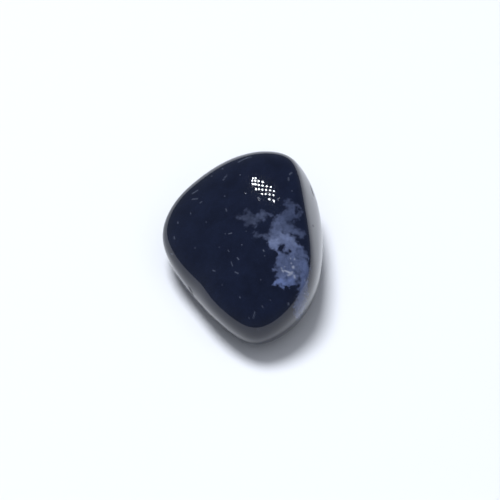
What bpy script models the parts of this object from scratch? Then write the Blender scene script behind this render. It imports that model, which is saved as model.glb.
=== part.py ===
"""A tumbled, polished pebble of dark chalcedony, made as one solid stone.

Metres, +Z up. The stone rests on a small worn flat at z = 0, under the middle of its box.
Azimuth is counted from +X towards +Y, and elevation from the level up.

The pebble is a broken lump that tumbling has worn: broad faces that bulge a little and run into each
other over round edges. Each face is part of a large ball. From the heart of the stone, every direction
meets each ball at its own distance, and a soft minimum of those distances is where the skin lies.
"""

import math
from typing import NamedTuple

import bmesh
import bpy
import numpy as np

MM = 0.001

# The heart is the point inside the stone from which its faces are measured
HEART = np.array([1.15, 0.0, 7.3]) * MM

# A higher power gives the edges between the faces a smaller radius
EDGE_POWER = 14.0

# The skin starts as a cube whose six sides are each this many squares wide, 9408 triangles in all,
# about 0.8 mm wide on the stone
SQUARES_PER_SIDE = 28


class Face(NamedTuple):
    """One worn face, as part of a ball.

    Azimuth and elevation, in degrees, give the direction from the heart in which the face points.
    Distance is how far off it lies there, and bulge is the radius of its ball, both in metres.
    """

    name: str
    azimuth: float
    elevation: float
    distance: float
    bulge: float


FACES = (
    Face("top", 210, 68, 6.6 * MM, 56 * MM),
    Face("underside", 0, -90, 7.6 * MM, 48 * MM),
    Face("back end", 86, 34, 16.0 * MM, 40 * MM),
    Face("back right corner", 31, 18, 15.2 * MM, 60 * MM),
    Face("right flank", 4, 25, 11.4 * MM, 200 * MM),
    Face("right edge", -5, -3, 11.4 * MM, 45 * MM),
    Face("right front slope", -42, 24, 14.3 * MM, 40 * MM),
    Face("right front edge", -30, -17, 13.4 * MM, 60 * MM),
    Face("front right undercut", -54, -28, 14.8 * MM, 60 * MM),
    Face("front slope", -108, 36, 14.2 * MM, 30 * MM),
    Face("front undercut", -104, -35, 16.0 * MM, 50 * MM),
    Face("left front flank", -145, 21, 11.1 * MM, 60 * MM),
    Face("left front undercut", -144, -22, 11.4 * MM, 60 * MM),
    Face("left end", 162, 6, 15.3 * MM, 25 * MM),
    Face("left undercut", 175, -42, 13.4 * MM, 25 * MM),
    Face("back left flank", 130, 28, 14.3 * MM, 60 * MM),
    Face("back left undercut", 124, -40, 11.6 * MM, 60 * MM),
    Face("back undercut", 70, -40, 12.0 * MM, 60 * MM),
    Face("right undercut", 10, -45, 11.2 * MM, 60 * MM),
)

# The left front flank is hollowed a little. The spread is the angle, seen from the heart, over which
# the hollow fades to about a third of its depth.
HOLLOW_AZIMUTH = -143
HOLLOW_ELEVATION = 9
HOLLOW_DEPTH = 0.5 * MM
HOLLOW_SPREAD = math.radians(17)

STONE_COLOUR = (0.0110, 0.0150, 0.0370, 1.0)
STONE_ROUGHNESS = 0.12
STONE_METALLIC = 0.0
STONE_IOR = 1.54


def direction(azimuth, elevation):
    """Return the unit vector of an azimuth and an elevation given in degrees."""
    across = math.radians(azimuth)
    up = math.radians(elevation)
    return np.array([math.cos(up) * math.cos(across), math.cos(up) * math.sin(across), math.sin(up)])


def distance_to_face(rays, face):
    """Return how far along each ray from the heart the face's ball is left.

    With b the run of the ray along the ball's middle c, that is b + sqrt(b^2 + radius^2 - |c|^2).
    """
    inset = face.distance - face.bulge
    run = rays @ (direction(face.azimuth, face.elevation) * inset)
    return run + np.sqrt(run ** 2 + face.bulge ** 2 - inset ** 2)


def hollow_depth(rays):
    """Return the depth of the hollow in the left front flank, a bell curve of the angle to its middle."""
    cosine = rays @ direction(HOLLOW_AZIMUTH, HOLLOW_ELEVATION)
    angle = np.arccos(np.clip(cosine, -1.0, 1.0))
    return HOLLOW_DEPTH * np.exp(-(angle / HOLLOW_SPREAD) ** 2)


def skin_points(rays):
    """Return the point of the stone's skin on each ray from its heart.

    The distance is a soft minimum of the distances to the faces, less the hollow. Points that would
    lie under the resting surface are worn off level with it.
    """
    closeness = sum(distance_to_face(rays, face) ** -EDGE_POWER for face in FACES)
    distance = closeness ** (-1.0 / EDGE_POWER) - hollow_depth(rays)
    points = HEART + rays * distance[:, None]
    points[:, 2] = np.maximum(points[:, 2], 0.0)
    return points


def stone_material():
    """Return the polished dark blue of the stone."""
    material = bpy.data.materials.new("chalcedony")
    material.use_nodes = True
    shader = material.node_tree.nodes["Principled BSDF"]
    shader.inputs["Base Color"].default_value = STONE_COLOUR
    shader.inputs["Roughness"].default_value = STONE_ROUGHNESS
    shader.inputs["Metallic"].default_value = STONE_METALLIC
    shader.inputs["IOR"].default_value = STONE_IOR
    material.diffuse_color = STONE_COLOUR
    return material


def even_rays(cube_points):
    """Return the unit vectors through points on the sides of a cube that reaches from -1 to 1.

    The tangent of a quarter turn of each coordinate keeps the sides where they are and spaces the
    vectors at equal angles.
    """
    rays = np.tan(cube_points * math.pi / 4)
    return rays / np.linalg.norm(rays, axis=1, keepdims=True)


def stone_mesh():
    """Return the skin as a mesh: a cube cut into small triangles, each point moved to the skin."""
    mesh = bpy.data.meshes.new("stone")
    cube = bmesh.new()
    bmesh.ops.create_cube(cube, size=2.0)
    bmesh.ops.subdivide_edges(cube, edges=cube.edges, cuts=SQUARES_PER_SIDE - 1, use_grid_fill=True)
    bmesh.ops.triangulate(cube, faces=cube.faces)
    cube.to_mesh(mesh)
    cube.free()

    cube_points = np.empty(len(mesh.vertices) * 3, dtype=np.float32)
    mesh.vertices.foreach_get("co", cube_points)
    rays = even_rays(cube_points.reshape(-1, 3).astype(float))
    mesh.vertices.foreach_set("co", skin_points(rays).astype(np.float32).ravel())
    mesh.update()
    mesh.shade_smooth()
    return mesh


def build():
    """Clear the scene and put the stone in it."""
    for old in list(bpy.data.objects):
        bpy.data.objects.remove(old, do_unlink=True)
    stone = bpy.data.objects.new("stone", stone_mesh())
    stone.data.materials.append(stone_material())
    bpy.context.collection.objects.link(stone)


build()
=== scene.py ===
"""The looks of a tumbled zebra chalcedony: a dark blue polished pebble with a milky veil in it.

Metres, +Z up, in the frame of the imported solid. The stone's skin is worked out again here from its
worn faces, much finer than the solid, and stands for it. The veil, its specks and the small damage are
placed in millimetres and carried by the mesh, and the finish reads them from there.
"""

import logging
import math
from dataclasses import dataclass
from enum import Enum

import bpy
import numpy as np
from mathutils import Matrix, Vector

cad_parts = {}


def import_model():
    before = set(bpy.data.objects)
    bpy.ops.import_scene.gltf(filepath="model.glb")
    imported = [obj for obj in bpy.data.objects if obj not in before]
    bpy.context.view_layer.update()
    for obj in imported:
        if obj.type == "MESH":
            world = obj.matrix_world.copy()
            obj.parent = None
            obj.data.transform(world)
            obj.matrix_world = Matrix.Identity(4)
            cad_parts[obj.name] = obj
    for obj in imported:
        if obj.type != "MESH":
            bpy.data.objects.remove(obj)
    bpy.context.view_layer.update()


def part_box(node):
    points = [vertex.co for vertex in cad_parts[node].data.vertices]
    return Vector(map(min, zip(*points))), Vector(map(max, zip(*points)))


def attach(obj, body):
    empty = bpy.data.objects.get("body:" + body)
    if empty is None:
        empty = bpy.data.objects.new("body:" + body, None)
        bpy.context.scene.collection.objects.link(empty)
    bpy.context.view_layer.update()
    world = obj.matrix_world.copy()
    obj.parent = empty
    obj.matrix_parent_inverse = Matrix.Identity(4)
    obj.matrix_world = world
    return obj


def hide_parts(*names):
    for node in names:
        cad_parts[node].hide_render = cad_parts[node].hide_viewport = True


LOG = logging.getLogger("zebra_chalcedony")

Colour = tuple[float, float, float]
Triple = tuple[float, float, float]

MM = 0.001
BODY = "root"
NODE = "stone"


class Trait(Enum):
    """What the stone's mesh carries at each of its points, for the finish to read."""

    EDGE = "veil_edge"
    DENSITY = "veil_density"
    TINT = "veil_tint"
    # Painted highlights: the bright glints, mostly on the crystal spot, as a mask for the base colour.
    PAINTED_GLINT = "painted_glint"
    NICK = "nick"
    # Cracks: sunk in the relief, and painted near black as the shade inside them.
    CRACK = "crack"


class Placing(Enum):
    """How the places of a mark are given."""

    SEEN = "across and up, in mm from the heart, as the camera sees them"
    SKIN = "azimuth and elevation, in degrees from the heart"


def direction(azimuth: float, elevation: float) -> np.ndarray:
    """Return the unit vector of an azimuth, from +X towards +Y, and an elevation, both in degrees."""
    across = math.radians(azimuth)
    up = math.radians(elevation)
    return np.array([math.cos(up) * math.cos(across), math.cos(up) * math.sin(across), math.sin(up)])


def smooth_step(values: np.ndarray, low: float, high: float) -> np.ndarray:
    """Return 0 below low, 1 above high and the curve 3t^2 - 2t^3 between them.

    Args:
        values: The numbers to map.
        low: Where the curve leaves 0.
        high: Where the curve reaches 1.

    Returns:
        An array of the same shape, from 0 to 1.
    """
    share = np.clip((values - low) / (high - low), 0.0, 1.0)
    return share * share * (3.0 - 2.0 * share)


def ripples(points: np.ndarray, size: float, seed: int, waves: int = 28) -> np.ndarray:
    """Return an even, aimless pattern of soft bumps over space, with a mean of 0 and a spread of 1.

    It is the sum of plane waves, cos(k . p + phase), whose directions and phases are drawn at random
    and whose lengths lie around the size.

    Args:
        points: Points, one a row, in mm.
        size: The length of a typical wave, in mm.
        seed: The seed of the random draws, so that each run gives the same pattern.
        waves: How many waves are summed.

    Returns:
        One number for each point.
    """
    draw = np.random.default_rng(seed)
    headings = draw.normal(size=(points.shape[1], waves))
    headings /= np.linalg.norm(headings, axis=0)
    lengths = size * draw.uniform(0.7, 1.6, waves)
    phases = draw.uniform(0.0, 2.0 * math.pi, waves)
    turns = points @ (headings * (2.0 * math.pi / lengths)) + phases
    return np.cos(turns).sum(axis=1) * math.sqrt(2.0 / waves)


@dataclass(frozen=True)
class Viewpoint:
    """Where the photograph was taken from: along +Y, looking down on the stone.

    Lengths are in mm. The stone is seen with its heart in the middle of the picture.
    """

    elevation: float = 55.0
    distance: float = 260.0
    pixels_per_mm: float = 6.5
    picture_width: float = 500.0

    def towards(self) -> np.ndarray:
        """Return the unit vector from the heart to the eye."""
        return direction(-90.0, self.elevation)

    def places(self, points: np.ndarray, heart: np.ndarray) -> np.ndarray:
        """Return where points are seen, in mm across and up on the plane through the heart.

        The offset from the heart is split along the view's right, up and towards directions, and the
        first two are enlarged by distance / (distance - towards) for perspective.

        Args:
            points: Points, one a row, in mm.
            heart: The middle of the view, in mm.

        Returns:
            Two columns, across and up.
        """
        towards = self.towards()
        right = np.array([1.0, 0.0, 0.0])
        up = np.cross(towards, right)
        offset = points - heart
        enlarged = self.distance / (self.distance - offset @ towards)
        return np.stack([offset @ right, offset @ up], axis=1) * enlarged[:, None]


@dataclass(frozen=True)
class WornFace:
    """One worn face of the stone, as part of a large ball.

    Azimuth and elevation, in degrees, give the direction from the heart in which the face points.
    Distance is how far off it lies there, and bulge is the radius of its ball, both in mm.
    """

    name: str
    azimuth: float
    elevation: float
    distance: float
    bulge: float

    def reach(self, rays: np.ndarray) -> np.ndarray:
        """Return how far along each ray from the heart the face's ball is left.

        With b the run of the ray along the ball's middle c, that is b + sqrt(b^2 + radius^2 - |c|^2).

        Args:
            rays: Unit vectors, one a row.

        Returns:
            One length for each ray, in mm.
        """
        inset = self.distance - self.bulge
        run = rays @ (direction(self.azimuth, self.elevation) * inset)
        return run + np.sqrt(run ** 2 + self.bulge ** 2 - inset ** 2)


WORN_FACES = (
    WornFace("top", 210, 68, 6.6, 56),
    WornFace("underside", 0, -90, 7.6, 48),
    WornFace("back end", 86, 34, 16.0, 40),
    WornFace("back right corner", 31, 18, 15.2, 60),
    WornFace("right flank", 4, 25, 11.4, 200),
    WornFace("right edge", -5, -3, 11.4, 45),
    WornFace("right front slope", -42, 24, 14.3, 40),
    WornFace("right front edge", -30, -17, 13.4, 60),
    WornFace("front right undercut", -54, -28, 14.8, 60),
    WornFace("front slope", -108, 36, 14.2, 30),
    WornFace("front undercut", -104, -35, 16.0, 50),
    WornFace("left front flank", -145, 21, 11.1, 60),
    WornFace("left front undercut", -144, -22, 11.4, 60),
    WornFace("left end", 162, 6, 15.3, 25),
    WornFace("left undercut", 175, -42, 13.4, 25),
    WornFace("back left flank", 130, 28, 14.3, 60),
    WornFace("back left undercut", 124, -40, 11.6, 60),
    WornFace("back undercut", 70, -40, 12.0, 60),
    WornFace("right undercut", 10, -45, 11.2, 60),
)


@dataclass(frozen=True)
class Hollow:
    """A shallow hollow in the left front flank, a bell curve of the angle to its middle."""

    azimuth: float = -143.0
    elevation: float = 9.0
    depth: float = 0.5
    spread: float = 17.0

    def depth_along(self, rays: np.ndarray) -> np.ndarray:
        """Return the hollow's depth on each ray, in mm."""
        cosine = rays @ direction(self.azimuth, self.elevation)
        angle = np.degrees(np.arccos(np.clip(cosine, -1.0, 1.0)))
        return self.depth * np.exp(-(angle / self.spread) ** 2)


@dataclass(frozen=True)
class PebbleForm:
    """The stone's form: every direction from its heart meets each worn face's ball, and the skin is
    where a soft minimum of those distances lies, less the hollow. Lengths are in mm."""

    heart: Triple = (1.15, 0.0, 7.3)
    edge_power: float = 14.0
    faces: tuple[WornFace, ...] = WORN_FACES
    hollow: Hollow = Hollow()

    def skin(self, rays: np.ndarray) -> np.ndarray:
        """Return the point of the skin on each ray, worn off level with the resting surface.

        The soft minimum of the reaches r is (sum of r^-p)^(-1/p), with p the edge power.

        Args:
            rays: Unit vectors, one a row.

        Returns:
            Points, one a row, in mm.
        """
        closeness = sum(face.reach(rays) ** -self.edge_power for face in self.faces)
        distance = closeness ** (-1.0 / self.edge_power) - self.hollow.depth_along(rays)
        points = np.array(self.heart) + rays * distance[:, None]
        points[:, 2] = np.maximum(points[:, 2], 0.0)
        return points

    def skin_at(self, azimuth: float, elevation: float) -> np.ndarray:
        """Return the point of the skin in one direction from the heart, in mm."""
        return self.skin(direction(azimuth, elevation)[None, :])[0]


@dataclass(frozen=True)
class CubeGrid:
    """The skin of a cube from -1 to 1, each side a grid of two parameters, joined along the edges."""

    squares: int = 128

    def quads(self) -> np.ndarray:
        """Return the squares of all six sides, each as four lattice numbers counted outwards.

        A side holds one coordinate at an end and runs the next two, u and v, over the lattice. The
        number of a lattice point is (i * n + j) * n + k, so points that two sides share agree.
        """
        count = self.squares + 1
        u, v = np.meshgrid(np.arange(count), np.arange(count), indexing="ij")
        sides = []
        for axis in range(3):
            for end in (0, self.squares):
                lattice = np.empty((count, count, 3), dtype=np.int64)
                lattice[..., axis] = end
                lattice[..., (axis + 1) % 3] = u
                lattice[..., (axis + 2) % 3] = v
                number = (lattice[..., 0] * count + lattice[..., 1]) * count + lattice[..., 2]
                corners = (number[:-1, :-1], number[1:, :-1], number[1:, 1:], number[:-1, 1:])
                side = np.stack(corners, axis=-1).reshape(-1, 4)
                sides.append(side if end else side[:, ::-1])
        return np.concatenate(sides)

    def surface(self) -> tuple[np.ndarray, np.ndarray]:
        """Return the points of the skin, from -1 to 1, and the squares between them.

        Returns:
            The points, one a row, and the squares as rows of four point numbers.
        """
        count = self.squares + 1
        numbers, corners = np.unique(self.quads(), return_inverse=True)
        lattice = np.stack([numbers // count ** 2, numbers // count % count, numbers % count], axis=1)
        return lattice * (2.0 / self.squares) - 1.0, corners.reshape(-1, 4)


def capsule_depth(places: np.ndarray, knots: np.ndarray, reaches: np.ndarray) -> np.ndarray:
    """Return how deep each place lies inside a stroke, and how far outside as a negative number.

    A stroke is a chain of tapering capsules. For one of them, from a to b, t is the share of the way
    along it, kept from 0 to 1, and the depth is the reach at t less the distance to the point at t.

    Args:
        places: Places, one a row, in mm, with as many columns as the knots.
        knots: The points that the stroke runs through, one a row, in mm.
        reaches: The half width of the stroke at each knot, in mm.

    Returns:
        The greatest depth over the chain, one number for each place, in mm.
    """
    if len(knots) == 1:
        return reaches[0] - np.linalg.norm(places - knots[0], axis=1)
    depth = np.full(len(places), -np.inf)
    for start, end, near, far in zip(knots[:-1], knots[1:], reaches[:-1], reaches[1:]):
        span = end - start
        share = np.clip((places - start) @ span / (span @ span), 0.0, 1.0)
        gap = np.linalg.norm(places - start - share[:, None] * span, axis=1)
        depth = np.maximum(depth, near + (far - near) * share - gap)
    return depth


@dataclass(frozen=True)
class Stroke:
    """A mark drawn in one go through its knots, each two coordinates and a half width in mm."""

    knots: tuple[Triple, ...]
    placing: Placing = Placing.SEEN

    def depth(self, canvas: "Canvas") -> np.ndarray:
        """Return how deep each point of the canvas lies inside the stroke.

        Args:
            canvas: The stone's points.

        Returns:
            One depth for each point, in mm.
        """
        reaches = np.array([knot[2] for knot in self.knots])
        if self.placing is Placing.SEEN:
            knots = np.array([knot[:2] for knot in self.knots])
            return np.minimum(capsule_depth(canvas.seen, knots, reaches), canvas.facing)
        knots = np.array([canvas.form.skin_at(knot[0], knot[1]) for knot in self.knots])
        return capsule_depth(canvas.warped, knots, reaches)


@dataclass(frozen=True)
class Canvas:
    """The stone's points as the marks are drawn on them, all in mm.

    Seen is across and up in the photograph's view, facing is how far a point lies round the stone
    towards the eye, and warped is the points in space. All of them wander a little, so that the
    marks' edges do.
    """

    form: PebbleForm
    seen: np.ndarray
    facing: np.ndarray
    warped: np.ndarray


@dataclass(frozen=True)
class Veil:
    """One zone of the milky veil: how dense it is, how blue, and the strokes that fill it."""

    name: str
    density: float
    tint: float
    strokes: tuple[Stroke, ...]


@dataclass(frozen=True)
class Gap:
    """Dark stone that breaks the veil. A share below 1 only thins the veil there."""

    name: str
    share: float
    strokes: tuple[Stroke, ...]


def seen(*knots: Triple) -> Stroke:
    """Return a stroke whose knots are given as the camera sees them: across, up and half width."""
    return Stroke(knots, Placing.SEEN)


def skin(*knots: Triple) -> Stroke:
    """Return a stroke whose knots are given on the skin: azimuth, elevation and half width."""
    return Stroke(knots, Placing.SKIN)


VEILS = (
    Veil("grey wisp", 0.18, 0.0, (
        seen((-2.1, 4.95, 0.1), (-1.25, 5.0, 0.25), (-0.55, 4.85, 0.5), (0.0, 4.6, 0.6), (0.5, 4.5, 0.5)),
        seen((-0.7, 5.9, 0.1), (-0.15, 5.6, 0.2), (0.3, 5.2, 0.2)),
        seen((-0.6, 4.0, 0.2)),
    )),
    Veil("bright rim of the grey wisp", 0.36, 0.05, (
        seen((0.4, 5.0, 0.15), (0.65, 4.7, 0.25), (0.75, 4.4, 0.23), (0.75, 3.7, 0.1)),
    )),
    Veil("arch", 0.34, 0.15, (
        seen((1.1, 4.6, 0.25), (1.3, 5.3, 0.37), (1.85, 5.55, 0.4), (2.45, 5.65, 0.3), (3.05, 5.5, 0.3),
             (3.4, 5.2, 0.23)),
        seen((1.75, 5.1, 0.37), (2.15, 4.9, 0.25)),
    )),
    Veil("upper veil", 0.26, 0.45, (
        seen((5.55, 7.15, 0.25), (5.9, 6.75, 0.5), (6.1, 6.1, 0.65), (5.85, 5.3, 0.7), (5.15, 4.9, 0.55)),
        seen((6.3, 6.6, 0.55), (6.45, 5.85, 0.5), (6.75, 5.25, 0.5), (6.45, 4.7, 0.3)),
        seen((7.4, 5.45, 0.3), (7.15, 5.0, 0.3)),
    )),
    Veil("upper rim", 0.26, 0.2, (
        seen((5.4, 7.65, 0.08), (6.1, 7.45, 0.1), (6.85, 7.05, 0.14), (7.45, 6.45, 0.14), (7.8, 5.8, 0.1)),
    )),
    Veil("upper body", 0.45, 0.3, (
        seen((4.55, 5.0, 0.45), (4.2, 4.4, 0.7), (4.1, 3.7, 0.8), (4.0, 2.9, 0.85), (4.0, 2.15, 0.9)),
        seen((3.1, 2.55, 0.25)),
    )),
    Veil("middle veil", 0.36, 0.35, (
        seen((5.1, 4.6, 0.65), (5.4, 3.8, 0.75), (5.7, 2.9, 0.6)),
    )),
    Veil("right veil", 0.30, 0.4, (
        seen((6.15, 3.7, 0.55), (6.6, 3.1, 0.65), (7.4, 2.6, 0.5), (8.0, 2.3, 0.35)),
    )),
    Veil("bright middle", 1.0, 0.08, (
        seen((3.3, 1.45, 0.45), (3.75, 1.45, 0.75), (4.5, 1.75, 0.8)),
    )),
    Veil("bright right", 0.72, 0.25, (
        seen((4.5, 1.6, 0.9), (5.4, 1.5, 0.95), (6.15, 1.35, 0.9), (6.6, 1.1, 0.65)),
        seen((3.25, 0.9, 0.5), (3.8, 0.45, 0.42)),
    )),
    Veil("bright lower", 0.66, 0.4, (
        seen((5.9, 0.6, 0.8), (6.2, -0.1, 0.85), (7.1, 0.5, 0.5)),
        seen((4.2, 0.3, 0.4), (4.6, -0.5, 0.25)),
    )),
    Veil("spur", 0.30, 0.1, (
        seen((0.55, 2.1, 0.1), (1.3, 2.25, 0.15), (1.95, 2.3, 0.23), (2.55, 2.05, 0.28), (3.0, 1.7, 0.36)),
        seen((0.5, 2.7, 0.08)),
    )),
    Veil("right of the bright", 0.44, 0.5, (
        seen((7.25, 0.3, 0.5), (7.75, -0.4, 0.8), (8.25, -1.25, 0.8)),
    )),
    Veil("lower body", 0.48, 0.5, (
        seen((5.3, -0.75, 0.7), (5.05, -1.6, 0.9), (4.8, -2.45, 0.92), (4.85, -3.3, 0.75), (4.8, -4.15, 0.6)),
        seen((6.45, -0.6, 0.95), (6.25, -1.7, 1.0), (6.15, -2.75, 1.1), (6.4, -3.85, 0.85)),
        seen((4.1, -3.0, 0.25), (3.6, -2.95, 0.08)),
    )),
    Veil("tongue", 0.80, 0.8, (
        seen((4.6, -4.7, 0.62), (5.4, -4.9, 0.7), (6.15, -4.55, 0.8)),
        seen((4.15, -5.0, 0.4), (3.6, -5.15, 0.1)),
        seen((4.75, -5.45, 0.3), (5.15, -5.9, 0.08)),
        seen((5.65, -5.3, 0.3), (5.9, -5.7, 0.08)),
        seen((6.55, -4.8, 0.4), (6.8, -5.2, 0.12)),
    )),
    Veil("bridge", 0.45, 0.4, (
        seen((7.15, -1.85, 0.55), (7.3, -3.1, 0.5), (7.3, -4.15, 0.45)),
        seen((7.2, -4.7, 0.22), (7.7, -5.15, 0.22), (7.75, -5.85, 0.18), (7.5, -6.05, 0.14)),
    )),
    Veil("strip on the flank", 0.58, 0.65, (
        seen((8.05, -2.15, 0.7), (8.45, -2.75, 0.75), (8.35, -3.7, 0.7), (8.25, -4.8, 0.68),
             (8.3, -5.85, 0.65), (8.15, -6.9, 0.77), (7.9, -8.0, 0.85), (7.6, -9.1, 0.77),
             (7.3, -10.15, 0.6)),
    )),
)

GAPS = (
    Gap("round gap", 1.0, (seen((1.9, 3.55, 0.86), (2.45, 3.5, 0.89)),)),
    Gap("gap under the arch", 1.0, (seen((2.7, 4.95, 0.34), (3.0, 4.65, 0.48), (3.45, 4.8, 0.26)),)),
    Gap("hole in the upper veil", 0.8, (seen((7.1, 6.65, 0.17), (7.1, 6.15, 0.34), (7.15, 5.7, 0.23)),)),
    Gap("dark streak", 1.0, (
        seen((6.2, 4.35, 0.17), (6.6, 4.1, 0.2), (7.0, 3.8, 0.28), (7.55, 3.55, 0.46)),
        seen((7.65, 4.6, 0.37), (7.85, 4.0, 0.62), (8.2, 3.25, 0.46)),
    )),
    Gap("wedge", 1.0, (seen((7.4, 1.8, 0.2), (7.9, 1.45, 0.55), (8.4, 1.0, 0.51)),)),
    Gap("clover", 1.0, (
        seen((4.6, 0.35, 0.42), (5.1, 0.43, 0.42), (4.85, 0.03, 0.36), (5.2, -0.43, 0.25),
             (5.55, -0.5, 0.28)),
    )),
    Gap("dots", 1.0, (
        seen((5.8, 4.4, 0.18)),
        seen((5.15, 3.6, 0.15)),
        seen((6.05, -0.1, 0.14)),
        seen((7.25, 0.1, 0.11), (7.25, -0.15, 0.14)),
        seen((8.1, -1.3, 0.14)),
        seen((8.75, -1.6, 0.17)),
    )),
    Gap("bites of the left edge", 1.0, (
        seen((3.85, -2.25, 0.28)),
        seen((3.85, -3.8, 0.28)),
        seen((4.0, -4.45, 0.32)),
        seen((5.5, -5.8, 0.15)),
        seen((6.2, -5.65, 0.2)),
    )),
    Gap("pearls", 1.0, (seen((7.3, -5.5, 0.38)), seen((7.35, -6.5, 0.25)))),
    Gap("spot on the strip", 0.7, (seen((9.05, -3.25, 0.18), (9.1, -4.1, 0.18)),)),
    Gap("shade round the crystals", 0.4, (
        seen((6.85, -3.4, 0.23), (7.35, -3.65, 0.22)),
        seen((7.3, -2.65, 0.18)),
        seen((5.6, -4.3, 0.22)),
    )),
)

# Painted highlights: bright glints, mostly on the crystal spot, painted into the base colour as pale specks.
PAINTED_GLINTS = (
    seen((4.85, -2.8, 0.11)),
    seen((4.95, -3.1, 0.12), (5.1, -3.3, 0.14)),
    seen((5.35, -3.15, 0.11), (5.7, -3.3, 0.14), (6.05, -3.5, 0.17), (6.4, -3.6, 0.18), (6.5, -3.35, 0.12)),
    seen((5.85, -3.9, 0.12), (6.2, -3.75, 0.14)),
    seen((6.8, -3.9, 0.12), (6.9, -4.3, 0.12)),
    seen((6.35, -2.05, 0.11)),
    seen((6.85, -1.4, 0.12)),
    seen((6.25, -1.3, 0.1)),
    seen((6.65, -2.65, 0.22)),
    seen((5.35, -2.55, 0.08)),
    seen((8.45, -4.65, 0.08)),
    seen((8.4, -6.7, 0.11)),
)

CRYSTAL_SPOT = seen((5.1, -3.05, 0.55), (6.0, -3.3, 0.8), (6.8, -3.6, 0.65))

NICKS = (
    seen((6.1, 11.65, 0.1), (6.4, 11.9, 0.1)),
    seen((5.9, 11.1, 0.09), (5.95, 10.75, 0.09)),
    seen((6.45, 9.1, 0.09)),
    seen((4.25, 7.85, 0.13)),
    seen((1.3, 8.1, 0.08), (1.55, 7.8, 0.1)),
    seen((-0.6, 8.75, 0.1)),
    seen((-4.15, 10.75, 0.06), (-3.55, 11.55, 0.06)),
    seen((-1.65, 13.65, 0.08)),
    seen((-1.85, 13.55, 0.06), (-0.75, 14.1, 0.07), (0.15, 14.35, 0.06)),
    seen((-3.9, 8.3, 0.09)),
    seen((-3.7, 6.3, 0.08), (-3.6, 6.0, 0.08)),
    seen((-3.3, 2.5, 0.07), (-2.85, 2.6, 0.1)),
    seen((-3.8, 2.5, 0.08)),
    seen((-1.25, 0.8, 0.1)),
    seen((2.05, 0.0, 0.1), (2.15, -0.2, 0.1)),
    seen((2.25, -0.9, 0.08)),
    seen((-1.95, -1.2, 0.09), (-1.75, -1.45, 0.11)),
    seen((-2.9, -1.85, 0.06), (-2.7, -2.45, 0.07)),
    seen((-2.3, -3.4, 0.08), (-1.85, -3.6, 0.1)),
    seen((1.65, -4.6, 0.08)),
    seen((-1.55, -7.3, 0.12)),
    seen((-5.7, -3.15, 0.1), (-5.4, -3.25, 0.08)),
    seen((0.5, -10.45, 0.07), (0.75, -9.55, 0.08)),
    seen((-0.15, -10.45, 0.08)),
    seen((5.9, -8.2, 0.11), (5.95, -8.45, 0.11)),
    seen((-11.1, 4.3, 0.08), (-11.1, 4.1, 0.08)),
    seen((-11.7, 2.0, 0.1), (-11.65, 1.7, 0.09)),
    seen((-8.45, 0.3, 0.08)),
    seen((-4.75, 0.45, 0.07)),
    seen((-8.7, 7.85, 0.08)),
    seen((-7.7, 7.25, 0.06), (-7.45, 7.45, 0.07)),
    seen((-5.9, 11.4, 0.08)),
    seen((1.25, -12.25, 0.08)),
    seen((-1.55, 11.55, 0.08)),
    seen((-6.75, 4.3, 0.07)),
    seen((-0.6, 2.9, 0.06)),
    seen((-4.3, -5.4, 0.07)),
    seen((3.1, -7.7, 0.07)),
    seen((1.85, -8.6, 0.06), (2.0, -8.85, 0.06)),
    seen((-3.4, 0.0, 0.06), (-3.25, -0.25, 0.06)),
)

# Cracks and pits at the rim: sunk a little, and painted near black as painted shade.
CRACKS = (
    skin((-147, -7, 0.16), (-144.5, -9, 0.26), (-143.5, -14.5, 0.18)),
    skin((-137, -18, 0.16), (-134.5, -21, 0.22)),
    skin((43.5, 19, 0.10), (40.5, 18.5, 0.17), (37.5, 18, 0.10)),
    skin((0, 34, 0.14)),
)


@dataclass(frozen=True)
class Bands:
    """Thin parallel milky layers that cross one zone of the stone, as a striped chalcedony has them.

    The layers' depth is taken across them: with u the way along their heading, bent by slow ripples,
    a point lies (cos(2 pi u / spacing) - cos(pi share)) * spacing / (2 pi) inside a layer.
    """

    azimuth: float = 75.0
    elevation: float = 38.0
    spacing: float = 2.3
    share: float = 0.36
    bend: float = 0.55
    density: float = 0.42
    tint: float = 0.45
    zone: tuple[Stroke, ...] = (
        skin((-12, -22, 2.4), (20, -30, 3.6), (55, -22, 3.8), (92, -18, 3.2), (120, -8, 1.6)),
        skin((30, -5, 2.2), (60, 2, 2.0), (84, 0, 1.2)),
    )
    seed: int = 41

    def depth(self, canvas: Canvas) -> np.ndarray:
        """Return how deep each point lies inside a layer, in mm, and within the zone.

        Args:
            canvas: The stone's points.

        Returns:
            One depth for each point.
        """
        along = canvas.warped @ direction(self.azimuth, self.elevation)
        along = along + self.bend * ripples(canvas.warped, 8.0, self.seed)
        wave = np.cos(2.0 * math.pi * along / self.spacing) - math.cos(math.pi * self.share)
        layers = wave * self.spacing / (2.0 * math.pi)
        zone = np.max([stroke.depth(canvas) for stroke in self.zone], axis=0)
        return np.minimum(layers, zone)


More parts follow.
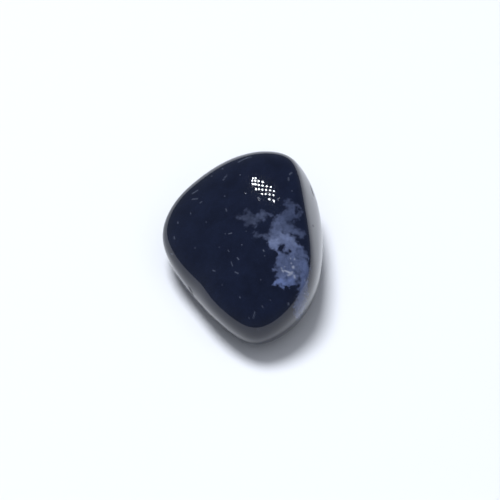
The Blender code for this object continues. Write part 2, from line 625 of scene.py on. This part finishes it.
@dataclass(frozen=True)
class Markings:
    """Everything that is drawn on the stone or nicked out of it, worked out for each of its points.

    Depths are in mm. Blend is the width over which two zones of the veil run into each other.
    """

    veils: tuple[Veil, ...] = VEILS
    gaps: tuple[Gap, ...] = GAPS
    bands: Bands = Bands()
    blend: float = 0.24
    far: float = 1.5
    hidden_nicks: int = 90
    seed: int = 7

    def veil(self, canvas: Canvas) -> dict[Trait, np.ndarray]:
        """Return the veil's edge, density and tint.

        The edge is the greatest depth in any stroke, cut back by the whole gaps. Density and tint are
        means over the zones, each weighted with exp(depth / blend).

        Args:
            canvas: The stone's points.

        Returns:
            One array for each of the three traits.
        """
        edge = np.full(len(canvas.seen), -self.far)
        weight = np.full(len(canvas.seen), 1e-12)
        dense = np.zeros(len(canvas.seen))
        blue = np.zeros(len(canvas.seen))
        zones = [(zone, stroke.depth(canvas)) for zone in self.veils for stroke in zone.strokes]
        zones.append((self.bands, self.bands.depth(canvas)))
        for zone, depth in zones:
            edge = np.maximum(edge, depth)
            pull = np.exp(np.clip(depth, -self.far, self.far) / self.blend)
            weight += pull
            dense += pull * zone.density
            blue += pull * zone.tint
        density = dense / weight
        for gap in self.gaps:
            depth = np.max([stroke.depth(canvas) for stroke in gap.strokes], axis=0)
            if gap.share < 1.0:
                density = density * (1.0 - gap.share * smooth_step(depth, -0.12, 0.12))
            else:
                edge = np.minimum(edge, -depth)
        edge = np.clip(edge, -self.far, self.far)
        return {Trait.EDGE: edge, Trait.DENSITY: density, Trait.TINT: blue / weight}

    def specks(self, canvas: Canvas, strokes: tuple[Stroke, ...]) -> np.ndarray:
        """Return the specks that strokes make, 1 at their middle and 0 past their soft edge."""
        depth = np.max([stroke.depth(canvas) for stroke in strokes], axis=0)
        return smooth_step(depth, -0.07, 0.10)

    def nicks_out_of_sight(self, towards: np.ndarray) -> tuple[Stroke, ...]:
        """Return short fine nicks strewn over the sides that the photograph doesn't show.

        Args:
            towards: The unit vector from the stone to the eye.

        Returns:
            The nicks, as strokes on the skin.
        """
        draw = np.random.default_rng(self.seed)
        headings = draw.normal(size=(4 * self.hidden_nicks, 3))
        headings /= np.linalg.norm(headings, axis=1, keepdims=True)
        hidden = headings[headings @ towards < 0.1][:self.hidden_nicks]
        azimuths = np.degrees(np.arctan2(hidden[:, 1], hidden[:, 0]))
        elevations = np.degrees(np.arcsin(hidden[:, 2]))
        steps = draw.normal(scale=1.6, size=(len(hidden), 2))
        widths = draw.uniform(0.06, 0.13, len(hidden))
        return tuple(
            skin((azimuth, elevation, width), (azimuth + step[0], elevation + step[1], width))
            for azimuth, elevation, step, width in zip(azimuths, elevations, steps, widths)
        )


@dataclass(frozen=True)
class Relief:
    """The fine relief of the skin, as depths in mm below the worn faces."""

    swell: float = 0.010
    swell_size: float = 6.0
    nick_depth: float = 0.02
    crack_depth: float = 0.16
    crystal_sunk: float = 0.03
    crystal_rise: float = 0.022

    def depth(
        self, points: np.ndarray, nick: np.ndarray, crack: np.ndarray, crystal: np.ndarray
    ) -> np.ndarray:
        """Return how far each point is sunk.

        Args:
            points: The stone's points, in mm.
            nick: How much of a nick each point is, from 0 to 1.
            crack: How much of a crack each point is, from 0 to 1.
            crystal: How much of the crystal spot each point is, from 0 to 1.

        Returns:
            The depths, in mm, negative where the skin swells.
        """
        swell = self.swell * ripples(points, self.swell_size, 3)
        jagged = ripples(points, 0.62, 11) + 0.6 * ripples(points, 0.36, 12)
        crystals = crystal * (self.crystal_sunk + self.crystal_rise * jagged)
        return swell + self.nick_depth * nick + self.crack_depth * crack + crystals


@dataclass
class Wiring:
    """A node tree to which nodes are added with their values and links in one call."""

    tree: bpy.types.NodeTree

    def add(
        self, kind: str, inputs: dict[str | int, object] | None = None, **settings: object
    ) -> bpy.types.Node:
        """Return a new node, its inputs set or linked and its settings set.

        Args:
            kind: The node's type.
            inputs: A value or an output socket for each input, by name or number.
            **settings: Properties of the node itself.

        Returns:
            The node.
        """
        node = self.tree.nodes.new(kind)
        for name, value in settings.items():
            setattr(node, name, value)
        for name, value in (inputs or {}).items():
            if isinstance(value, bpy.types.NodeSocket):
                self.tree.links.new(value, node.inputs[name])
            else:
                node.inputs[name].default_value = value
        return node

    def maths(self, operation: str, first: object, second: object = 0.0) -> bpy.types.NodeSocket:
        """Return the result of a Math node."""
        return self.add("ShaderNodeMath", {0: first, 1: second}, operation=operation).outputs[0]

    def trait(self, trait: Trait) -> bpy.types.NodeSocket:
        """Return the value that the mesh carries for a trait."""
        return self.add("ShaderNodeAttribute", attribute_name=trait.value).outputs["Fac"]

    def ramp(self, value: object, low: object, high: object) -> bpy.types.NodeSocket:
        """Return a smooth step of the value from 0 at low to 1 at high."""
        inputs = {"Value": value, "From Min": low, "From Max": high}
        return self.add("ShaderNodeMapRange", inputs, interpolation_type="SMOOTHSTEP").outputs["Result"]

    def mix(self, share: object, first: object, second: object) -> bpy.types.NodeSocket:
        """Return a colour between two others."""
        return self.add("ShaderNodeMix", {0: share, 6: first, 7: second}, data_type="RGBA").outputs[2]

    def noise(
        self, places: object, per_mm: float, detail: float = 3.0, rough: float = 0.55
    ) -> bpy.types.NodeSocket:
        """Return a cloudy noise, about 0.5 on the mean.

        Args:
            places: Object coordinates, in mm.
            per_mm: How many lumps there are for each mm.
            detail: How many finer layers are added.
            rough: How strong the finer layers are.

        Returns:
            The noise, from 0 to 1.
        """
        inputs = {"Vector": places, "Scale": per_mm, "Detail": detail, "Roughness": rough}
        return self.add("ShaderNodeTexNoise", inputs).outputs["Fac"]


@dataclass(frozen=True)
class ChalcedonyFinish:
    """Polished dark blue chalcedony with a milky veil, specks, nicks and a crystal spot in it.
    Its bright specks are painted glints, and its cracks are painted near black as shade.

    Colours are linear. The edge widths and grain sizes are in mm.
    """

    dark: Colour = (0.0052, 0.0078, 0.0200)
    grey_veil: Colour = (0.132, 0.158, 0.254)
    blue_veil: Colour = (0.088, 0.122, 0.262)
    # Colour of the painted glints, highlights painted as pale specks.
    painted_glint: Colour = (0.190, 0.210, 0.280)
    nick: Colour = (0.055, 0.064, 0.092)
    # Painted shade: the near black inside the cracks and pits.
    crack: Colour = (0.0015, 0.0018, 0.0030)
    roughness: float = 0.018
    refraction: float = 1.54
    haze: float = 0.05
    haze_roughness: float = 0.16
    edge_raggedness: float = 0.52
    lobe_depth: float = 0.42
    lobes_per_mm: float = 1.9
    edge_softness: float = 0.34
    thinnest_shade: float = 0.68
    mottling: float = 0.60
    uneven_polish: float = 0.02
    nick_roughness: float = 0.35

    def material(self) -> bpy.types.Material:
        """Return the finish as a material that reads the mesh's traits and Object coordinates."""
        material = bpy.data.materials.new("polished_chalcedony")
        material.use_nodes = True
        wiring = Wiring(material.node_tree)
        shader = material.node_tree.nodes["Principled BSDF"]
        shader.inputs["IOR"].default_value = self.refraction
        shader.inputs["Coat Weight"].default_value = self.haze
        shader.inputs["Coat Roughness"].default_value = self.haze_roughness
        coordinates = wiring.add("ShaderNodeTexCoord").outputs["Object"]
        scaled = wiring.add("ShaderNodeVectorMath", {0: coordinates, 3: 1.0 / MM}, operation="SCALE")
        places = scaled.outputs[0]
        links = material.node_tree.links
        links.new(self._colour(wiring, places), shader.inputs["Base Color"])
        links.new(self._roughness(wiring, places), shader.inputs["Roughness"])
        return material

    def _veil(self, wiring: Wiring, places: bpy.types.NodeSocket) -> bpy.types.NodeSocket:
        """Return how milky each place is: the veil's edge, made ragged, times its mottled density.

        Args:
            wiring: The material's nodes.
            places: Object coordinates, in mm.

        Returns:
            A share from 0 to about 1.
        """
        fine = wiring.noise(places, 2.6, 5.0, 0.6)
        ragged = wiring.maths("MULTIPLY", wiring.maths("SUBTRACT", fine, 0.44), self.edge_raggedness)
        cells = wiring.add(
            "ShaderNodeTexVoronoi",
            {"Vector": places, "Scale": self.lobes_per_mm, "Smoothness": 0.25},
            feature="SMOOTH_F1",
        ).outputs["Distance"]
        lobes = wiring.maths("MULTIPLY", wiring.maths("SUBTRACT", 0.42, cells), self.lobe_depth)
        edge = wiring.maths("ADD", wiring.maths("ADD", wiring.trait(Trait.EDGE), ragged), lobes)
        density = wiring.trait(Trait.DENSITY)
        softness = wiring.maths("MULTIPLY", wiring.maths("SUBTRACT", 1.5, density), self.edge_softness)
        mask = wiring.ramp(edge, wiring.maths("MULTIPLY", softness, -1.0), softness)
        mottle = wiring.ramp(wiring.noise(places, 1.1, 6.0, 0.65), 0.28, 0.72)
        shade = wiring.maths("ADD", wiring.maths("MULTIPLY", mottle, self.mottling), self.thinnest_shade)
        return wiring.maths("MULTIPLY", wiring.maths("MULTIPLY", mask, density), shade)

    def _colour(self, wiring: Wiring, places: bpy.types.NodeSocket) -> bpy.types.NodeSocket:
        """Return the base colour: dark stone, veil, painted glints, nicks and cracks painted near black as
        shade, one over the other.

        Args:
            wiring: The material's nodes.
            places: Object coordinates, in mm.

        Returns:
            The colour.
        """
        grain = wiring.ramp(wiring.noise(places, 0.35, 6.0, 0.7), 0.2, 0.8)
        darker = tuple(0.75 * part for part in self.dark) + (1.0,)
        lighter = tuple(1.3 * part for part in self.dark) + (1.0,)
        stone = wiring.mix(grain, darker, lighter)
        veil = wiring.mix(wiring.trait(Trait.TINT), self.grey_veil + (1.0,), self.blue_veil + (1.0,))
        colour = wiring.mix(self._veil(wiring, places), stone, veil)
        # Painted highlight: the glints go over the veil as pale specks.
        colour = wiring.mix(wiring.trait(Trait.PAINTED_GLINT), colour, self.painted_glint + (1.0,))
        colour = wiring.mix(wiring.trait(Trait.NICK), colour, self.nick + (1.0,))
        # Painted shade: the cracks go near black over everything.
        return wiring.mix(wiring.trait(Trait.CRACK), colour, self.crack + (1.0,))

    def _roughness(self, wiring: Wiring, places: bpy.types.NodeSocket) -> bpy.types.NodeSocket:
        """Return the roughness: polished, a little uneven, and dull on nicks.

        Args:
            wiring: The material's nodes.
            places: Object coordinates, in mm.

        Returns:
            The roughness.
        """
        uneven = wiring.maths("MULTIPLY", wiring.noise(places, 0.8, 5.0, 0.65), self.uneven_polish)
        polished = wiring.maths("ADD", uneven, self.roughness)
        worn = wiring.maths("MULTIPLY", wiring.trait(Trait.NICK), self.nick_roughness)
        return wiring.maths("ADD", polished, worn)


@dataclass(frozen=True)
class Pebble:
    """The stone: its form, its markings, its relief and its finish, built as one closed mesh.

    Crowding gathers the mesh's points on the side that the photograph shows, where its details are.
    """

    viewpoint: Viewpoint
    form: PebbleForm = PebbleForm()
    grid: CubeGrid = CubeGrid()
    markings: Markings = Markings()
    relief: Relief = Relief()
    finish: ChalcedonyFinish = ChalcedonyFinish()
    crowding: float = 0.35

    def rays(self, cube_points: np.ndarray) -> np.ndarray:
        """Return unit vectors from the heart, one for each point on a cube's skin.

        The tangent of a quarter turn of each coordinate spaces them evenly. Adding a fixed vector
        towards the eye and normalising again crowds them on that side.

        Args:
            cube_points: Points on the skin of a cube from -1 to 1.

        Returns:
            Unit vectors, one a row.
        """
        even = np.tan(cube_points * math.pi / 4.0)
        even /= np.linalg.norm(even, axis=1, keepdims=True)
        crowded = even + self.crowding * self.viewpoint.towards()
        return crowded / np.linalg.norm(crowded, axis=1, keepdims=True)

    def canvas(self, points: np.ndarray, normals: np.ndarray) -> Canvas:
        """Return the points as the markings are drawn on them, wandering a little.

        Args:
            points: The stone's points, in mm.
            normals: Their unit normals.

        Returns:
            The canvas.
        """
        wander = [0.10 * ripples(points, 1.3, 21 + axis) + 0.05 * ripples(points, 0.55, 31 + axis)
                  for axis in range(3)]
        wander = np.stack(wander, axis=1)
        heart = np.array(self.form.heart)
        return Canvas(
            form=self.form,
            seen=self.viewpoint.places(points, heart) + wander[:, :2],
            facing=8.0 * (normals @ self.viewpoint.towards()),
            warped=points + wander,
        )

    def build(self) -> bpy.types.Object:
        """Return the stone, in place of the solid and inside its box.

        Returns:
            The finished object.
        """
        cube_points, quads = self.grid.surface()
        points = self.form.skin(self.rays(cube_points))
        mesh = new_mesh("polished_stone", points * MM, quads)
        normals = vertex_normals(mesh)
        canvas = self.canvas(points, normals)
        places = self.viewpoint.places(points, np.array(self.form.heart))
        steady = Canvas(self.form, places, canvas.facing, points)
        towards = self.viewpoint.towards()
        traits = self.markings.veil(canvas)
        # Painted glints: the highlights, mostly on the crystal spot, as a mask for the colour.
        traits[Trait.PAINTED_GLINT] = self.markings.specks(steady, PAINTED_GLINTS)
        traits[Trait.NICK] = self.markings.specks(steady, NICKS + self.markings.nicks_out_of_sight(towards))
        # Cracks: a mask that sinks the relief and paints the shade inside them.
        traits[Trait.CRACK] = self.markings.specks(steady, CRACKS)
        crystal = smooth_step(CRYSTAL_SPOT.depth(canvas), -0.25, 0.25)
        sunk = self.relief.depth(points, traits[Trait.NICK], traits[Trait.CRACK], crystal)
        points = fitted(points - normals * sunk[:, None], NODE)
        mesh.vertices.foreach_set("co", (points * MM).astype(np.float32).ravel())
        for trait, values in traits.items():
            attribute = mesh.attributes.new(trait.value, "FLOAT", "POINT")
            attribute.data.foreach_set("value", values.astype(np.float32))
        mesh.update()
        stone = bpy.data.objects.new("polished_stone", mesh)
        bpy.context.scene.collection.objects.link(stone)
        stone.data.materials.append(self.finish.material())
        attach(stone, BODY)
        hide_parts(NODE)
        LOG.info("%s: %d points, %d squares", stone.name, len(points), len(quads))
        return stone


def new_mesh(name: str, points: np.ndarray, quads: np.ndarray) -> bpy.types.Mesh:
    """Return a smooth mesh of four-sided faces.

    Args:
        name: The mesh's name.
        points: Points, one a row, in metres.
        quads: Rows of four point numbers, counted outwards.

    Returns:
        The mesh.
    """
    mesh = bpy.data.meshes.new(name)
    mesh.vertices.add(len(points))
    mesh.vertices.foreach_set("co", points.astype(np.float32).ravel())
    mesh.loops.add(quads.size)
    mesh.loops.foreach_set("vertex_index", quads.astype(np.int32).ravel())
    mesh.polygons.add(len(quads))
    mesh.polygons.foreach_set("loop_start", np.arange(0, quads.size, 4, dtype=np.int32))
    mesh.update(calc_edges=True)
    mesh.shade_smooth()
    mesh.validate()
    return mesh


def vertex_normals(mesh: bpy.types.Mesh) -> np.ndarray:
    """Return a mesh's normals, one a row."""
    normals = np.empty(len(mesh.vertices) * 3, dtype=np.float32)
    mesh.vertices.foreach_get("normal", normals)
    return normals.reshape(-1, 3).astype(float)


def fitted(points: np.ndarray, node: str) -> np.ndarray:
    """Return points stretched the hair's breadth by which they differ from a solid's box.

    Args:
        points: Points, one a row, in mm.
        node: The solid's node.

    Returns:
        Points that fill the same box as the solid.
    """
    low, high = (np.array(corner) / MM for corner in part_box(node))
    own_low = points.min(axis=0)
    own_high = points.max(axis=0)
    return low + (points - own_low) * (high - low) / (own_high - own_low)


@dataclass(frozen=True)
class LampHead:
    """A round lamp head of small lights in rows, above and behind the stone to the left.

    Lengths are in mm, on the head's own plane: across, and up the head. A light in row i and column
    j, both counted from the middle, lies at the middle + i row step + j column step, and the steps
    grow a little with i and j.
    """

    azimuth: float = 129.35
    elevation: float = 50.8
    distance: float = 380.0
    power: float = 0.06
    rows: tuple[int, ...] = (2, 4, 6, 6, 4, 2)
    middle: tuple[float, float] = (-12.0, -5.4)
    row_step: tuple[float, float] = (4.8, 15.5)
    column_step: tuple[float, float] = (-3.4, 7.5)
    row_growth: tuple[float, float] = (0.7, 1.7)
    cross_growth: tuple[float, float] = (0.3, 1.25)
    column_growth: tuple[float, float] = (0.1, 0.6)
    width: float = 2.5
    length_share: float = 0.28
    colour: Colour = (0.92, 0.96, 1.0)

    def build(self, heart: Triple) -> list[bpy.types.Object]:
        """Return the lights, each turned towards the stone.

        Args:
            heart: The point that the head faces, in mm.

        Returns:
            The lights.
        """
        facing = direction(self.azimuth, self.elevation)
        across = np.cross((0.0, 0.0, 1.0), facing)
        across /= np.linalg.norm(across)
        up = np.cross(facing, across)
        frame = np.stack([across, up])
        lights = []
        for row, count in enumerate(self.rows):
            i = row - (len(self.rows) - 1) / 2.0
            for place in range(count):
                j = place - (count - 1) / 2.0
                spot = np.array(self.middle) + i * np.array(self.row_step) + j * np.array(self.column_step)
                spot += i * i * np.array(self.row_growth) + i * j * np.array(self.cross_growth)
                spot += j * j * np.array(self.column_growth)
                step = np.array(self.row_step) + 2.0 * i * np.array(self.row_growth)
                step += j * np.array(self.cross_growth)
                centre = np.array(heart) + facing * self.distance + spot @ frame
                lights.append(self._light(len(lights), centre, step @ frame, facing))
        return lights

    def _light(
        self, number: int, centre: np.ndarray, step: np.ndarray, facing: np.ndarray
    ) -> bpy.types.Object:
        """Return one light, an ellipse whose long way lies along its row's step.

        Args:
            number: The light's number, for its name.
            centre: The light's middle, in mm.
            step: The step to the next row there, in mm.
            facing: The unit vector from the stone to the lamp head.

        Returns:
            The light.
        """
        lamp = bpy.data.lights.new(f"lamp_head_{number:02d}", "AREA")
        lamp.shape = "ELLIPSE"
        lamp.size = self.width * MM
        lamp.size_y = self.length_share * np.linalg.norm(step) * MM
        lamp.energy = self.power / sum(self.rows)
        lamp.color = self.colour
        light = bpy.data.objects.new(lamp.name, lamp)
        long_way = Vector(step).normalized()
        backwards = Vector(facing)
        turn = Matrix((long_way.cross(backwards), long_way, backwards)).transposed().to_4x4()
        light.matrix_world = Matrix.Translation(Vector(centre) * MM) @ turn
        light.visible_diffuse = False
        bpy.context.scene.collection.objects.link(light)
        return light


@dataclass(frozen=True)
class Studio:
    """The pale floor, the room's soft light and the camera. Lengths are in metres."""

    viewpoint: Viewpoint
    heart: Triple
    floor_half: float = 3.0
    floor_colour: Colour = (0.72, 0.73, 0.76)
    zenith: Colour = (0.060, 0.068, 0.090)
    horizon: Colour = (0.15, 0.17, 0.21)
    sensor: float = 36.0
    light_colour: Colour = (0.93, 0.96, 1.0)
    key_direction: tuple[float, float] = (138.0, 78.0)
    key_width: float = 0.34
    key_power: float = 11.0
    fill_direction: tuple[float, float] = (-75.0, 72.0)
    fill_width: float = 1.3
    fill_power: float = 4.6

    def floor(self) -> bpy.types.Object:
        """Return the plain pale floor that the stone rests on."""
        half = self.floor_half
        corners = np.array([(-half, -half, 0.0), (half, -half, 0.0), (half, half, 0.0), (-half, half, 0.0)])
        floor = bpy.data.objects.new("floor", new_mesh("floor", corners, np.array([[0, 1, 2, 3]])))
        bpy.context.scene.collection.objects.link(floor)
        material = bpy.data.materials.new("pale_floor")
        material.use_nodes = True
        shader = material.node_tree.nodes["Principled BSDF"]
        shader.inputs["Base Color"].default_value = self.floor_colour + (1.0,)
        shader.inputs["Roughness"].default_value = 0.9
        shader.inputs["Specular IOR Level"].default_value = 0.0
        floor.data.materials.append(material)
        LOG.info("%s: %.1f m wide", floor.name, 2.0 * half)
        return floor

    def room(self) -> None:
        """Set the room: dark overhead and paler towards the horizon."""
        world = bpy.data.worlds.new("room")
        world.use_nodes = True
        bpy.context.scene.world = world
        wiring = Wiring(world.node_tree)
        heading = wiring.add("ShaderNodeTexCoord").outputs["Generated"]
        height = wiring.add("ShaderNodeSeparateXYZ", {0: heading}).outputs["Z"]
        share = wiring.ramp(height, 0.0, 0.9)
        colour = wiring.mix(share, self.horizon + (1.0,), self.zenith + (1.0,))
        world.node_tree.links.new(colour, world.node_tree.nodes["Background"].inputs["Color"])

    def soft_light(self, name: str, azimuth: float, elevation: float, size: float, power: float) -> None:
        """Add a round soft light 1 m from the stone, which lights it but doesn't mirror in it.

        Args:
            name: The light's name.
            azimuth: The light's direction from the stone, in degrees.
            elevation: Its height above the horizon, in degrees.
            size: Its width, in metres.
            power: Its power, in watts.
        """
        lamp = bpy.data.lights.new(name, "AREA")
        lamp.shape = "DISK"
        lamp.size = size
        lamp.energy = power
        lamp.color = self.light_colour
        light = bpy.data.objects.new(name, lamp)
        towards = Vector(direction(azimuth, elevation))
        light.location = Vector(self.heart) * MM + towards
        light.rotation_euler = towards.to_track_quat("Z", "Y").to_euler()
        light.visible_glossy = False
        bpy.context.scene.collection.objects.link(light)

    def camera(self) -> bpy.types.Object:
        """Return the camera, at the photograph's angle and scale.

        The lens is the sensor's width times the distance over the width that the picture takes in.
        """
        view = self.viewpoint
        data = bpy.data.cameras.new("camera")
        data.sensor_width = self.sensor
        data.lens = self.sensor * view.distance * view.pixels_per_mm / view.picture_width
        data.clip_start = 0.01
        data.clip_end = 20.0
        camera = bpy.data.objects.new("camera", data)
        towards = Vector(view.towards())
        camera.location = (Vector(self.heart) + towards * view.distance) * MM
        camera.rotation_euler = towards.to_track_quat("Z", "Y").to_euler()
        bpy.context.scene.collection.objects.link(camera)
        bpy.context.scene.camera = camera
        return camera

    def build(self) -> None:
        """Build the floor, the room's light and the camera, and show colours as they are."""
        self.camera()
        self.floor()
        self.room()
        self.soft_light("key", *self.key_direction, self.key_width, self.key_power)
        self.soft_light("fill", *self.fill_direction, self.fill_width, self.fill_power)
        bpy.context.scene.view_settings.view_transform = "Standard"


def main() -> None:
    """Load the frame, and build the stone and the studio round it."""
    logging.basicConfig(level=logging.INFO)
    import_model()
    viewpoint = Viewpoint()
    pebble = Pebble(viewpoint)
    pebble.build()
    Studio(viewpoint, pebble.form.heart).build()
    lights = LampHead().build(pebble.form.heart)
    LOG.info("lamp head: %d lights", len(lights))


if __name__ == "__main__":
    main()
